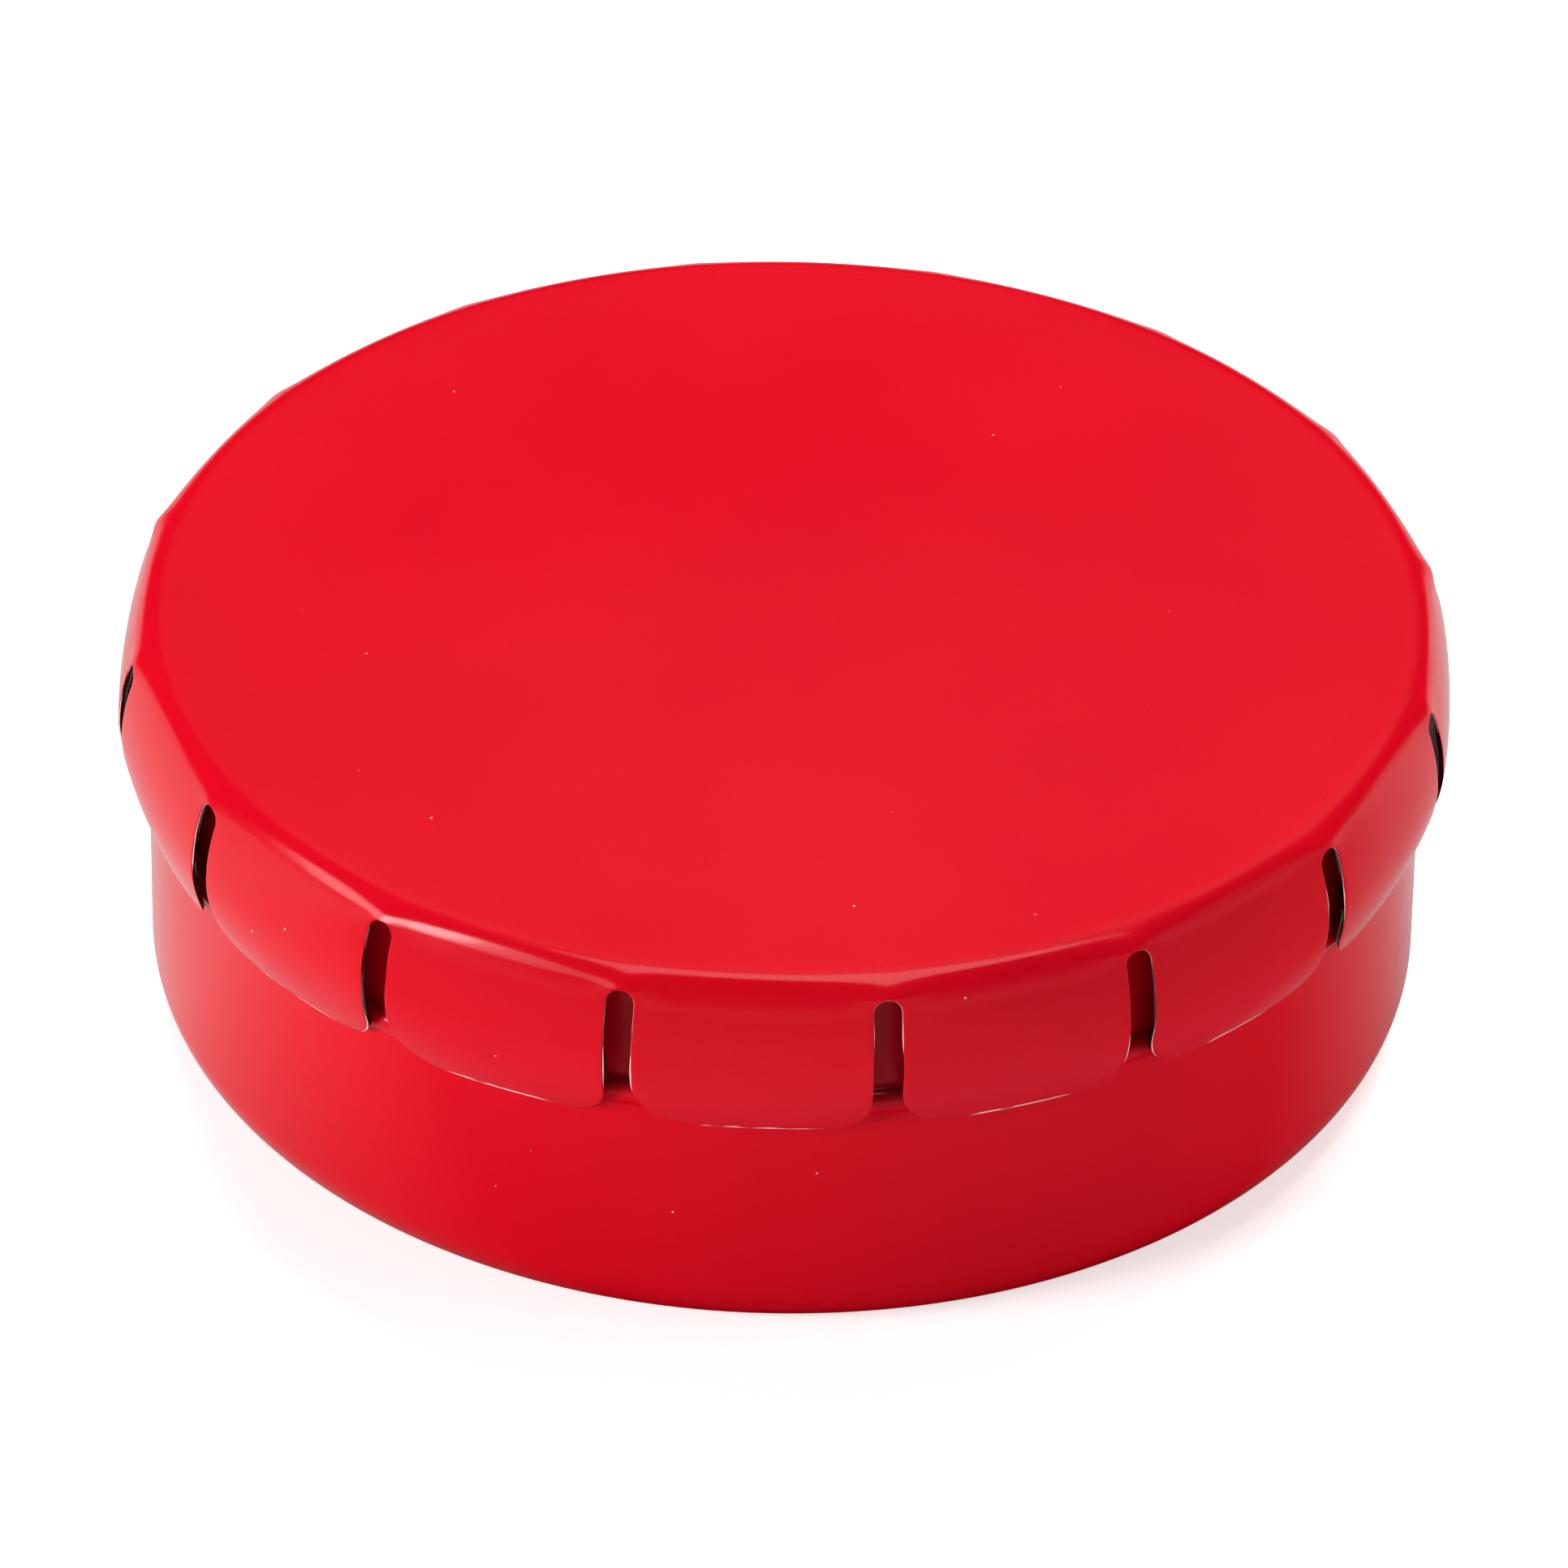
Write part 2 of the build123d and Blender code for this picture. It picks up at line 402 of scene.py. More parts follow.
def finish_sheet(piece, sheet, cut_edges=False, limit=SMOOTH_ANGLE):
    """Dress a pressed surface, thicken it inwards and shade it smooth, sharp past an angle."""
    piece.data.materials.clear()
    for material in tin_materials(cut_edges):
        piece.data.materials.append(material)
    make_active(piece)
    wall = piece.modifiers.new("Sheet", "SOLIDIFY")
    wall.thickness = sheet
    wall.offset = -1
    wall.use_even_offset = True
    wall.use_quality_normals = True
    wall.material_offset = 1
    wall.material_offset_rim = 2
    bpy.ops.object.modifier_apply(modifier=wall.name)
    bpy.ops.object.shade_smooth_by_angle(angle=limit, keep_sharp_edges=False)


def turned_copy(piece, name, turn):
    """A copy with its own mesh, turned about the axis in its mesh."""
    copy = piece.copy()
    copy.data = piece.data.copy()
    copy.name = name
    copy.data.name = name
    bpy.context.collection.objects.link(copy)
    copy.data.transform(Matrix.Rotation(turn, 4, "Z"))
    return copy


# Shape of the lid

def held(value):
    """A value held between 0 and 1."""
    return min(1.0, max(0.0, value))


def round_point(radius, turn, height):
    """Point at a radius, an angle and a height."""
    return Vector((radius * math.cos(turn), radius * math.sin(turn), height))


def dome_height(sizes, shape, radius):
    """Height of the snap panel, level where it meets the rim."""
    inside = max(0.0, 1 - (radius / shape.rim_inner) ** 2)
    return sizes.rim_height + sizes.panel_rise * inside**2


def side_reach(sizes, shape, radius, turn):
    """Distance from the axis to a side of the lid, at an angle from the side's middle."""
    corner = PITCH / 2
    away = (corner - abs(turn)) * shape.side_outer
    eased = math.hypot(away, sizes.side_corner) - sizes.side_corner
    eased_turn = corner - eased / shape.side_outer
    local = radius - shape.side_axis
    across = shape.side_axis * math.sin(eased_turn)
    return shape.side_axis * math.cos(eased_turn) + math.sqrt(local**2 - across**2)


def side_point(sizes, shape, radius, height, turn):
    """Point of a side whose middle lies on the X axis: round at the rim, flatter further down."""
    corner = PITCH / 2
    flat = held((sizes.rim_height - height) / sizes.round_depth)
    flat = flat**2 * (3 - 2 * flat)
    reach = side_reach(sizes, shape, radius, turn) * flat + (radius + sizes.rim_spread) * (1 - flat)
    away = (corner - abs(turn)) * shape.side_outer / sizes.ear_width
    high = held((sizes.rim_height - height) / (sizes.rim_height - shape.slot_top))
    high *= held((height - shape.crown) / (shape.slot_top - shape.crown))
    low = held((shape.belly_height - height) / (shape.belly_height - shape.tip_bottom))
    reach += sizes.corner_ear * math.exp(-(away**2)) * high
    reach -= sizes.tip_hug * (turn / corner) ** 2 * low
    return round_point(reach, turn, height)


def radius_at(sizes, shape, height):
    """Radius in the middle of a side, at a height of the lid's outside."""
    if height >= shape.shoulder_start:
        rise = min(1.0, (height - shape.shoulder_level) / sizes.shoulder_bend)
        return shape.shoulder_centre + sizes.shoulder_bend * math.sqrt(1 - rise**2)
    if height >= shape.belly_height:
        return shape.flare_centre + math.sqrt(shape.flare_radius**2 - (height - shape.belly_height) ** 2)
    return shape.belly_centre + math.sqrt(sizes.belly_bend**2 - (height - shape.belly_height) ** 2)


def lid_normal(sizes, shape, point):
    """Outward normal of the whole lid at a point of its outside."""
    reach = math.hypot(point.x, point.y)
    heading = math.atan2(point.y, point.x)
    step = 0.01 * MM
    if reach <= shape.rim_inner + step:
        fall = (dome_height(sizes, shape, reach) - dome_height(sizes, shape, reach + step)) / step
        return Vector((fall * math.cos(heading), fall * math.sin(heading), 1)).normalized()
    middle = FIRST_SLOT + PITCH / 2
    turn = (heading - middle + PITCH / 2) % PITCH - PITCH / 2
    small = 0.0005
    low, high = point.z - step, point.z + step
    above = side_point(sizes, shape, radius_at(sizes, shape, high), high, turn)
    below = side_point(sizes, shape, radius_at(sizes, shape, low), low, turn)
    radius = radius_at(sizes, shape, point.z)
    ahead = side_point(sizes, shape, radius, point.z, turn + small)
    behind = side_point(sizes, shape, radius, point.z, turn - small)
    normal = (ahead - behind).cross(above - below).normalized()
    return Matrix.Rotation(heading - turn, 3, "Z") @ normal


def join_seams(sizes, shape, piece, on_seam):
    """Give the outside the whole lid's normals along its seams, so that no seam shows."""
    mesh = piece.data
    normals = [(0.0, 0.0, 0.0)] * len(mesh.loops)
    for face in mesh.polygons:
        if face.material_index:
            continue
        for corner in face.loop_indices:
            point = mesh.vertices[mesh.loops[corner].vertex_index].co
            if on_seam(point):
                normals[corner] = tuple(lid_normal(sizes, shape, point))
    mesh.normals_split_custom_set(normals)


def turn_shares():
    """All the columns once round the lid, each as its side's middle and its angle from there."""
    turns = []
    for side in range(SIDES):
        middle = FIRST_SLOT + (side + 0.5) * PITCH
        turns += [(middle, across * PITCH / 2) for across in ACROSS_SHARES[:-1]]
    return turns


def place_ring(piece, first, points):
    """Set a ring of vertices, counted from the first one, on its points."""
    for n, point in enumerate(points):
        piece.data.vertices[first + n].co = point


def pressed_ring(name, rows):
    """Closed band through rings of points, from the inside out, each ring extruded from the one before."""
    deselect()
    count = len(rows[0])
    bpy.ops.mesh.primitive_circle_add(vertices=count, radius=rows[0][0].xy.length)
    piece = name_new(name)
    place_ring(piece, 0, rows[0])
    for n in range(1, len(rows)):
        with editing():
            bpy.ops.mesh.extrude_region_move(TRANSFORM_OT_translate={"value": (0, 0, 0)})
        place_ring(piece, n * count, rows[n])
    return piece


def pressed_strip(name, rows):
    """Open sheet through rows of points, pressed from a flat grid."""
    deselect()
    across, down = len(rows[0]), len(rows)
    bpy.ops.mesh.primitive_grid_add(x_subdivisions=across - 1, y_subdivisions=down - 1, size=MM)
    piece = name_new(name)
    for n, row in enumerate(rows):
        for m, point in enumerate(row):
            piece.data.vertices[n * across + m].co = point
    return piece


def add_edge_distance(piece, distances):
    """Store how far from the cut edge each vertex counts as being, for the wear of the enamel."""
    layer = piece.data.attributes.new("cut_distance", "FLOAT", "POINT")
    layer.data.foreach_set("value", distances)


# Materials

def new_group(name, inputs, outputs):
    """Shader node group with a Vector input, number inputs and number outputs."""
    group = bpy.data.node_groups.new(name, "ShaderNodeTree")
    group.interface.new_socket(name="Vector", in_out="INPUT", socket_type="NodeSocketVector")
    for socket, value in inputs.items():
        made = group.interface.new_socket(name=socket, in_out="INPUT", socket_type="NodeSocketFloat")
        made.default_value = value
    for socket in outputs:
        group.interface.new_socket(name=socket, in_out="OUTPUT", socket_type="NodeSocketFloat")
    return group, group.nodes.new("NodeGroupInput"), group.nodes.new("NodeGroupOutput")


def feed(tree, node, inputs):
    """Set or link a node's inputs."""
    for key, value in inputs.items():
        if isinstance(value, bpy.types.NodeSocket):
            tree.links.new(value, node.inputs[key])
        else:
            node.inputs[key].default_value = value


def add_node(tree, kind, inputs, **settings):
    """Add a node, set its settings and feed its inputs."""
    node = tree.nodes.new(kind)
    for key, value in settings.items():
        setattr(node, key, value)
    feed(tree, node, inputs)
    return node


def maths(tree, operation, *values):
    """A Math node's output."""
    return add_node(tree, "ShaderNodeMath", dict(enumerate(values)), operation=operation).outputs[0]


def noise(tree, vector, scale, detail=2.0):
    """A noise pattern's node."""
    return add_node(tree, "ShaderNodeTexNoise", {"Vector": vector, "Scale": scale, "Detail": detail})


def ramp(tree, value, low, high, start, end):
    """A value mapped from one range to another, held at its ends."""
    node = add_node(tree, "ShaderNodeMapRange", {0: value, 1: low, 2: high, 3: start, 4: end})
    return node.outputs[0]


def mixed(tree, factor, first, second):
    """Two colours mixed by a factor."""
    node = add_node(tree, "ShaderNodeMix", {0: factor, 6: first, 7: second}, data_type="RGBA")
    return node.outputs[2]


def scaled(value, factor):
    """A colour made darker or brighter."""
    return tuple(channel * factor for channel in value[:3]) + (1,)


def add_bump(tree, shader, height, strength, distance):
    """Feed a height to a shader's normal."""
    bump = add_node(tree, "ShaderNodeBump", {"Height": height, "Strength": strength, "Distance": distance})
    feed(tree, shader, {"Normal": bump.outputs[0]})


def specks_group():
    """Sparse round specks: one in a share of the cells of a Voronoi pattern."""
    inputs = {"Spacing": 1.6 * MM, "Radius": 0.05 * MM, "Share": 0.1}
    group, source, sink = new_group("Specks", inputs, ["Mask"])
    vector = source.outputs["Vector"]
    scale = maths(group, "DIVIDE", 1.0, source.outputs["Spacing"])
    warp = noise(group, vector, WARP_SCALE).outputs["Color"]
    push = add_node(group, "ShaderNodeVectorMath", {0: warp, 1: (WARP, WARP, WARP)}, operation="MULTIPLY")
    moved = add_node(group, "ShaderNodeVectorMath", {0: vector, 1: push.outputs[0]}, operation="ADD")
    cells = add_node(group, "ShaderNodeTexVoronoi", {"Vector": moved.outputs[0], "Scale": scale})
    chosen = add_node(group, "ShaderNodeSeparateColor", {0: cells.outputs["Color"]})
    present = maths(group, "LESS_THAN", chosen.outputs[0], source.outputs["Share"])
    size = maths(group, "MULTIPLY", source.outputs["Radius"], ramp(group, chosen.outputs[1], *SPECK_SIZES))
    reach = maths(group, "MULTIPLY", size, scale)
    inside = maths(group, "LESS_THAN", cells.outputs["Distance"], reach)
    feed(group, sink, {"Mask": maths(group, "MULTIPLY", present, inside)})


def peel_group():
    """Slight orange peel and fine grain of baked enamel, as a height and a tone."""
    inputs = {"Peel Size": 0.9 * MM, "Grain Size": 0.09 * MM}
    group, source, sink = new_group("Enamel skin", inputs, ["Height", "Tone"])
    vector = source.outputs["Vector"]
    peel_scale = maths(group, "DIVIDE", 1.0, source.outputs["Peel Size"])
    grain_scale = maths(group, "DIVIDE", 1.0, source.outputs["Grain Size"])
    peel = noise(group, vector, peel_scale).outputs[0]
    grain = noise(group, vector, grain_scale, detail=1.0).outputs[0]
    broad = noise(group, vector, BROAD_SCALE, detail=3.0).outputs[0]
    height = maths(group, "MULTIPLY_ADD", grain, GRAIN_HEIGHT, peel)
    tone = maths(group, "MULTIPLY_ADD", grain, GRAIN_TONE, broad)
    feed(group, sink, {"Height": height, "Tone": tone})


def chips_group():
    """Small chips of the enamel along a cut edge."""
    inputs = {"Cut Distance": 1.0, "Reach": 0.1 * MM}
    group, source, sink = new_group("Edge chips", inputs, ["Mask"])
    coarse = noise(group, source.outputs["Vector"], CHIP_SCALE, detail=5.0).outputs[0]
    wear = ramp(group, coarse, *CHIP_SIZES)
    limit = maths(group, "MULTIPLY", source.outputs["Reach"], wear)
    feed(group, sink, {"Mask": maths(group, "LESS_THAN", source.outputs["Cut Distance"], limit)})


def start_material(name):
    """New material with a Principled shader and its Object coordinates."""
    material = bpy.data.materials.new(name)
    material.use_nodes = True
    tree = material.node_tree
    shader = tree.nodes["Principled BSDF"]
    place = tree.nodes.new("ShaderNodeTexCoord").outputs["Object"]
    return material, tree, shader, place


def place_group(tree, name, place, inputs):
    """Put a shader node group into a material, with the material's own values."""
    inputs = {"Vector": place, **inputs}
    return add_node(tree, "ShaderNodeGroup", inputs, node_tree=bpy.data.node_groups[name])


def enamel_material(name, finish, cut_edges):
    """Glossy red baked enamel with orange peel, dust specks and, on the fingers, a painted sheen low down and
    chips.
    """
    material, tree, shader, place = start_material(name)
    sizes = {"Peel Size": finish.peel_size, "Grain Size": finish.grain_size}
    skin = place_group(tree, "Enamel skin", place, sizes)
    specks = {"Spacing": finish.speck_spacing, "Radius": finish.speck_radius, "Share": finish.speck_share}
    mask = place_group(tree, "Specks", place, specks).outputs["Mask"]
    shade = ramp(tree, skin.outputs["Tone"], *ENAMEL_SHADE)
    paint = mixed(tree, shade, scaled(finish.enamel, DEEP_RED), scaled(finish.enamel, BRIGHT_RED))
    if cut_edges:
        # Painted reflection: low on the fingers the red turns to the paler sheen colour, standing in for the
        # mirrored floor
        height = add_node(tree, "ShaderNodeSeparateXYZ", {0: place}).outputs[2]
        paint = mixed(tree, ramp(tree, height, *PAINTED_SHEEN_HEIGHTS), paint, tuple(finish.painted_sheen))
    paint = mixed(tree, mask, paint, tuple(finish.dust))
    if cut_edges:
        distance = add_node(tree, "ShaderNodeAttribute", {}, attribute_name="cut_distance").outputs["Fac"]
        chips = {"Cut Distance": distance, "Reach": finish.chip_reach}
        chipped = place_group(tree, "Edge chips", place, chips).outputs["Mask"]
        paint = mixed(tree, chipped, paint, tuple(finish.steel))
    rough = ramp(tree, skin.outputs["Tone"], *ENAMEL_ROUGHNESS)
    rough = maths(tree, "MAXIMUM", rough, maths(tree, "MULTIPLY", mask, SPECK_ROUGHNESS))
    feed(tree, shader, {"Base Color": paint, "Roughness": rough, "IOR": ENAMEL_IOR})
    height = maths(tree, "MULTIPLY_ADD", mask, SPECK_HEIGHT, skin.outputs["Height"])
    add_bump(tree, shader, height, strength=0.12, distance=0.02 * MM)
    return material


def lacquer_material(finish):
    """Inside of the sheet: tinplate under clear lacquer, with the fine grain of the rolling mill."""
    material, tree, shader, place = start_material("lacquered_tinplate")
    stretch = add_node(tree, "ShaderNodeMapping", {"Vector": place, "Scale": ROLLED_SCALE})
    grain = noise(tree, stretch.outputs[0], 1.0, detail=3.0).outputs[0]
    shade = mixed(tree, grain, scaled(finish.lacquer, DULL_LACQUER), tuple(finish.lacquer))
    rough = ramp(tree, grain, *LACQUER_ROUGHNESS)
    feed(tree, shader, {"Base Color": shade, "Roughness": rough, "Metallic": 0.55})
    add_bump(tree, shader, grain, strength=0.02, distance=0.01 * MM)
    return material


def steel_material(finish):
    """Bare cut edge of the sheet: bright where it sheared, dull where it tore."""
    material, tree, shader, place = start_material("bare_cut_edge")
    torn = noise(tree, place, TEAR_SCALE, detail=3.0).outputs[0]
    sheared = ramp(tree, torn, *SHEARED_SHARE)
    shade = mixed(tree, sheared, scaled(finish.cut, DULL_CUT), tuple(finish.cut))
    rough = ramp(tree, torn, *CUT_ROUGHNESS)
    feed(tree, shader, {"Base Color": shade, "Roughness": rough, "Metallic": 1.0})
    add_bump(tree, shader, torn, strength=0.4, distance=0.02 * MM)
    return material


def tin_materials(cut_edges):
    """Outside, inside and cut of a pressing, made once and used again."""
    finish = bpy.context.scene.tin_finish
    if "Specks" not in bpy.data.node_groups:
        specks_group()
        peel_group()
        chips_group()
        lacquer_material(finish)
        steel_material(finish)
    name = "red_enamel_fingers" if cut_edges else "red_enamel"
    enamel = bpy.data.materials.get(name) or enamel_material(name, finish, cut_edges)
    return [enamel, bpy.data.materials["lacquered_tinplate"], bpy.data.materials["bare_cut_edge"]]


# Pieces

def can_profile(sizes, shape):
    """Outside of the can in the radial plane, from the floor's middle to the end of the rolled mouth."""
    foot_outer = sizes.wall_radius - sizes.foot_bend
    foot_inner = foot_outer - sizes.foot_width
    edge = foot_inner - sizes.floor_slope
    middle, top = (0, sizes.floor_step), (edge, sizes.floor_step)
    low, foot = (foot_inner, 0), (foot_outer, 0)
    reach = sizes.ridge_bend + sizes.ridge_fillet
    low_turn = math.acos((sizes.wall_radius + sizes.ridge_fillet - shape.ridge_centre) / reach)
    high_turn = math.acos((shape.neck_radius + sizes.ridge_fillet - shape.ridge_centre) / reach)
    below = shape.ridge_height - reach * math.sin(low_turn)
    above = shape.ridge_height + reach * math.sin(high_turn)
    points = [middle] + spaced(middle, top, steps=6)
    points += rounded(middle, top, low, sizes.floor_bend, steps=6)
    points += rounded(top, low, foot, sizes.floor_bend, steps=6)
    points += arc((foot_outer, sizes.foot_bend), sizes.foot_bend, -math.pi / 2, 0, steps=18)
    points += spaced((sizes.wall_radius, sizes.foot_bend), (sizes.wall_radius, below), steps=6)
    lower = (sizes.wall_radius + sizes.ridge_fillet, below)
    upper = (shape.neck_radius + sizes.ridge_fillet, above)
    points += arc(lower, sizes.ridge_fillet, math.pi, math.pi - low_turn, steps=7)
    crest = (shape.ridge_centre, shape.ridge_height)
    points += arc(crest, sizes.ridge_bend, -low_turn, high_turn, steps=14)[1:]
    points += arc(upper, sizes.ridge_fillet, math.pi + high_turn, math.pi, steps=7)[1:]
    mouth = (shape.neck_radius - sizes.mouth_roll, sizes.mouth_height)
    points += spaced((shape.neck_radius, above), (shape.neck_radius, mouth[1]), steps=5)
    points += arc(mouth, sizes.mouth_roll, 0, sizes.mouth_sweep, steps=26)
    return points


class TIN_OT_can(Operator):
    """Drawn can, spun from its outline"""

    bl_idname = "tin.can"
    bl_label = "Base can"

    def execute(self, context):
        sizes = context.scene.tin_sizes
        shape = shape_of(sizes)
        piece = draw_chain("can", can_profile(sizes, shape))
        spin_round(piece)
        face_outwards(piece, sizes.wall_radius / 4)
        finish_sheet(piece, sizes.sheet)
        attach(piece, "base")
        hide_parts("base_can")
        return {"FINISHED"}


class TIN_OT_lid_ring(Operator):
    """Flat rim and rounded shoulder of the lid, round all its sides"""

    bl_idname = "tin.lid_ring"
    bl_label = "Lid ring"

    def execute(self, context):
        sizes = context.scene.tin_sizes
        shape = shape_of(sizes)
        turns = turn_shares()
        rows = [[round_point(shape.rim_inner, middle + turn, sizes.rim_height) for middle, turn in turns]]
        centre = (shape.shoulder_centre, shape.shoulder_level)
        section = arc(centre, sizes.shoulder_bend, math.pi / 2, shape.shoulder_angle, steps=16)
        section.append((radius_at(sizes, shape, shape.seam_height), shape.seam_height))
        for radius, height in section:
            rows.append([Matrix.Rotation(middle, 3, "Z") @ side_point(sizes, shape, radius, height, turn)
                         for middle, turn in turns])
        rows[1:1] = [[inner.lerp(outer, step / RIM_ROWS) for inner, outer in zip(rows[0], rows[1])]
                     for step in range(1, RIM_ROWS)]
        piece = pressed_ring("lid_ring", rows)
        face_outwards(piece, shape.seam_height)
        finish_sheet(piece, sizes.sheet)

        def on_seam(point):
            inner = abs(point.xy.length - shape.rim_inner) < ON_SEAM
            return inner or abs(point.z - shape.seam_height) < ON_SEAM

        join_seams(sizes, shape, piece, on_seam)
        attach(piece, "lid")
        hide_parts("lid_shoulder")
        return {"FINISHED"}


class TIN_OT_panel(Operator):
    """Snap panel of the lid: a core that moves as one, and sectors between it and the rim"""

    bl_idname = "tin.panel"
    bl_label = "Snap panel"

    def ring(self, sizes, shape, radius, turns):
        height = dome_height(sizes, shape, radius)
        return [round_point(radius, middle + turn, height) for middle, turn in turns]

    def core(self, sizes, shape):
        turns = turn_shares()
        radii = [PANEL_CORE * n / CORE_ROWS for n in range(1, CORE_ROWS + 1)]
        piece = pressed_ring("panel_core", [self.ring(sizes, shape, radius, turns) for radius in radii])
        make_active(piece)
        with editing():
            bpy.ops.mesh.select_mode(type="VERT")
            bpy.ops.mesh.select_all(action="DESELECT")
        for vertex in piece.data.vertices:
            vertex.select = vertex.co.xy.length < radii[0] + ON_SEAM
        with editing():
            bpy.ops.mesh.extrude_region_move(TRANSFORM_OT_translate={"value": (0, 0, 0)})
            bpy.ops.mesh.merge(type="CENTER")
            bpy.ops.mesh.select_all(action="SELECT")
            bpy.ops.mesh.normals_make_consistent(inside=False)
        face_up(piece)
        finish_sheet(piece, sizes.sheet)
        join_seams(sizes, shape, piece, lambda point: point.xy.length > PANEL_CORE - ON_SEAM)
        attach(piece, "dome")
        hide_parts("lid_dome")

    def sector(self, sizes, shape):
        width = shape.rim_inner - PANEL_CORE
        radii = [PANEL_CORE + width * n / SECTOR_ROWS for n in range(SECTOR_ROWS + 1)]
        turns = [(0.0, across * PITCH / 2) for across in ACROSS_SHARES]
        piece = pressed_strip("panel_sector", [self.ring(sizes, shape, radius, turns) for radius in radii])
        face_up(piece)
        finish_sheet(piece, sizes.sheet)

        def on_seam(point):
            radius = point.xy.length
            side = abs(abs(math.atan2(point.y, point.x)) - PITCH / 2) * radius
            return side < ON_SEAM or radius < PANEL_CORE + ON_SEAM or radius > shape.rim_inner - ON_SEAM

        join_seams(sizes, shape, piece, on_seam)
        return piece

    def execute(self, context):
        sizes = context.scene.tin_sizes
        shape = shape_of(sizes)
        self.core(sizes, shape)
        pattern = self.sector(sizes, shape)
        for n in range(SIDES):
            heading = FIRST_SLOT + (n + 0.5) * PITCH
            piece = turned_copy(pattern, f"panel_sector_{n + 1:02d}", heading)
            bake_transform(piece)
        bpy.data.objects.remove(pattern)
        return {"FINISHED"}


class TIN_OT_fingers(Operator):
    """Sixteen gripping fingers, each with its own slightly uneven cut"""

    bl_idname = "tin.fingers"
    bl_label = "Fingers"

    def profile_at(self, sizes, shape, along):
        """Radius, height and slope of the finger's outside at a distance up from its tip."""
        if along < shape.belly_length:
            turn = along / sizes.belly_bend - shape.tip_turn
            centre, bend = shape.belly_centre, sizes.belly_bend
        else:
            turn = (along - shape.belly_length) / shape.flare_radius
            centre, bend = shape.flare_centre, shape.flare_radius
        return centre + bend * math.cos(turn), shape.belly_height + bend * math.sin(turn), turn

    def along_at(self, shape, height):
        """Distance up from the tip at a height of the flared side."""
        turn = math.asin((height - shape.belly_height) / shape.flare_radius)
        return shape.belly_length + turn * shape.flare_radius

    def row_places(self, sizes, shape):
        """Distances of the rows up from the tip, closest at its corners and at the slot's top."""
        corner_turns = [math.radians(turn) for turn in range(0, 91, CORNER_STEP)]
        crown_turns = [math.radians(turn) for turn in range(0, 91, CROWN_STEP)]
        corner = [sizes.far_corner * (1 - math.cos(turn)) for turn in corner_turns]
        crown = [self.along_at(shape, shape.crown + shape.slot_half * math.sin(turn)) for turn in crown_turns]
        first, last = corner[-1], crown[0]
        between = [first + (last - first) * n / SIDE_ROWS for n in range(1, SIDE_ROWS)]
        seam = self.along_at(shape, shape.seam_height)
        top = self.along_at(shape, shape.slot_top)
        return corner + between + crown + [top, (top + seam) / 2, seam]

    def slot_half_at(self, shape, height):
        """Half the slot's width at a height."""
        if height >= shape.slot_top:
            return 0.0
        if height <= shape.crown:
            return shape.slot_half
        return math.sqrt(max(0.0, shape.slot_half**2 - (height - shape.crown) ** 2))

    def uneven_edge(self, sizes, shape, height, number, side):
        """How far the punched edge of one side strays from straight, nothing at the slot's round top."""
        down = max(0.0, (shape.crown - height) / (shape.crown - shape.tip_bottom))
        phase = EDGE_PHASES[0] * number + EDGE_PHASES[1] * side
        wave = math.sin(phase + LONG_WAVE * down) + 0.5 * math.sin(2.2 * phase + SHORT_WAVE * down)
        return sizes.uneven * wave * min(1.0, 4 * down)

    def cut_distance(self, shape, height, along, from_slot, corner):
        """Distance of a place from the cut edge, with its distance from the slot's middle given."""
        from_side = from_slot - shape.slot_half
        if height > shape.crown:
            return max(0.0, math.hypot(from_slot, height - shape.crown) - shape.slot_half)
        if from_side < corner and along < corner:
            return max(0.0, corner - math.hypot(corner - from_side, corner - along))
        return max(0.0, min(from_side, along))

    def pressed(self, sizes, shape, number):
        """One finger, pressed on the X axis and turned to its place."""
        rows = []
        distances = []
        for along in self.row_places(sizes, shape):
            radius, height, slope = self.profile_at(sizes, shape, along)
            half = self.slot_half_at(shape, height)
            reach = side_reach(sizes, shape, radius, PITCH / 2)
            limits = {}
            for side, corner in ((-1, sizes.finger_corner), (1, sizes.far_corner)):
                inset = corner - math.sqrt(max(0.0, corner**2 - max(0.0, corner - along) ** 2))
                stray = self.uneven_edge(sizes, shape, height, number, side)
                limits[side] = PITCH / 2 - math.asin((half + inset + stray) / reach)
            row = []
            for across in ACROSS_SHARES:
                corner = sizes.finger_corner if across < 0 else sizes.far_corner
                turn = across * limits[-1 if across < 0 else 1]
                from_slot = reach * math.sin(PITCH / 2 - abs(turn))
                cut = self.cut_distance(shape, height, along, from_slot, corner)
                near = max(0.0, 1 - cut / sizes.cut_width)
                drop = sizes.cut_roll * (1 - math.sqrt(1 - near**2))
                out = round_point(math.cos(slope), turn, math.sin(slope))
                row.append(side_point(sizes, shape, radius, height, turn) - out * drop)
                spared = min(MOST_SPARED, SIDE_SPARED * along / corner)
                distances.append(cut * (TIP_SPARED + spared + CORNER_SPARED * abs(across) ** CORNER_POWER))
            rows.append(row)
        piece = pressed_strip(f"finger_side_{number:02d}", rows)
        add_edge_distance(piece, distances)
        face_outwards(piece, shape.belly_height)
        finish_sheet(piece, sizes.sheet, cut_edges=True, limit=FINGER_SMOOTH_ANGLE)

        def on_seam(point):
            from_side = abs(abs(math.atan2(point.y, point.x)) - PITCH / 2) * point.xy.length
            side = from_side < ON_SEAM and point.z > shape.slot_top - ON_SEAM
            return side or abs(point.z - shape.seam_height) < ON_SEAM

